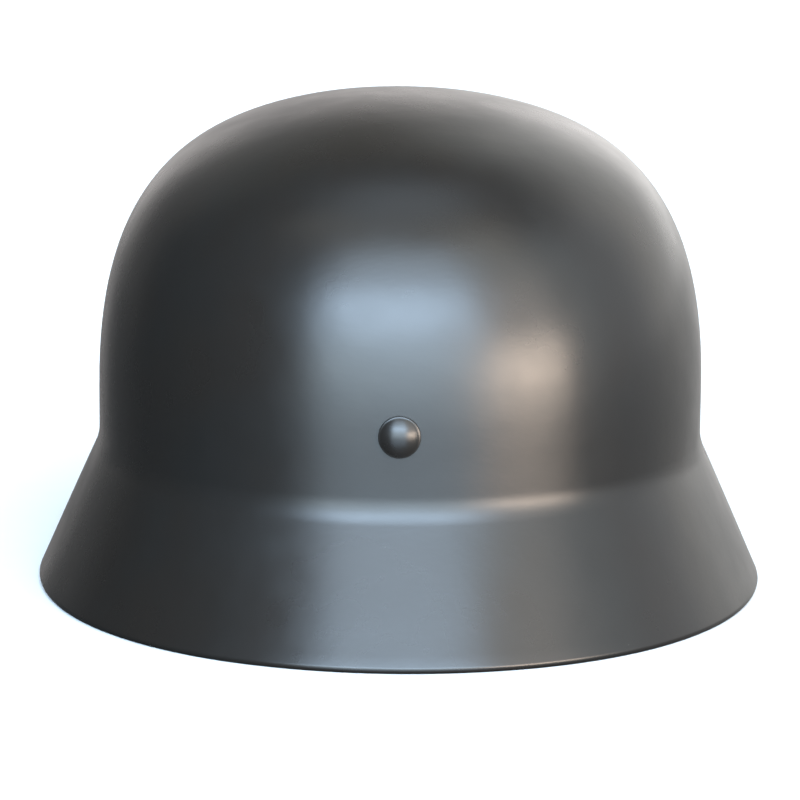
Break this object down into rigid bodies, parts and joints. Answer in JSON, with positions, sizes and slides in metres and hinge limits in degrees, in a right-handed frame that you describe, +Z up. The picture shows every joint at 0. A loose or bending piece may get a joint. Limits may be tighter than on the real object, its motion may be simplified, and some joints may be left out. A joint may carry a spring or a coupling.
{
  "type": "steel combat helmet",
  "caption": "Stahlhelm shell of pressed steel with a domed crown, visor, flared ear and neck skirt, rolled rim, liner rivets and side vents.",
  "frame": {"origin": "on the plane that the rim rests on, under the middle of the helmet's length and width", "axes": "+Z up to the crown, -Y towards the visor, +Y towards the neck guard, +X to the wearer's left"},
  "size_m": [0.2368, 0.2905, 0.1585],
  "materials": {
    "shell_paint": "semi-gloss slate grey enamel with a fine orange peel",
    "rivet_paint": "semi-gloss slate grey enamel",
    "vent_paint": "semi-gloss slate grey enamel"
  },
  "bodies": {
    "root": {"shell": "shell_paint", "rivet_rear": "rivet_paint", "rivet_front_left": "rivet_paint", "rivet_front_right": "rivet_paint", "vent_bushing_left": "vent_paint", "vent_bushing_right": "vent_paint"}
  },
  "joints": []
}
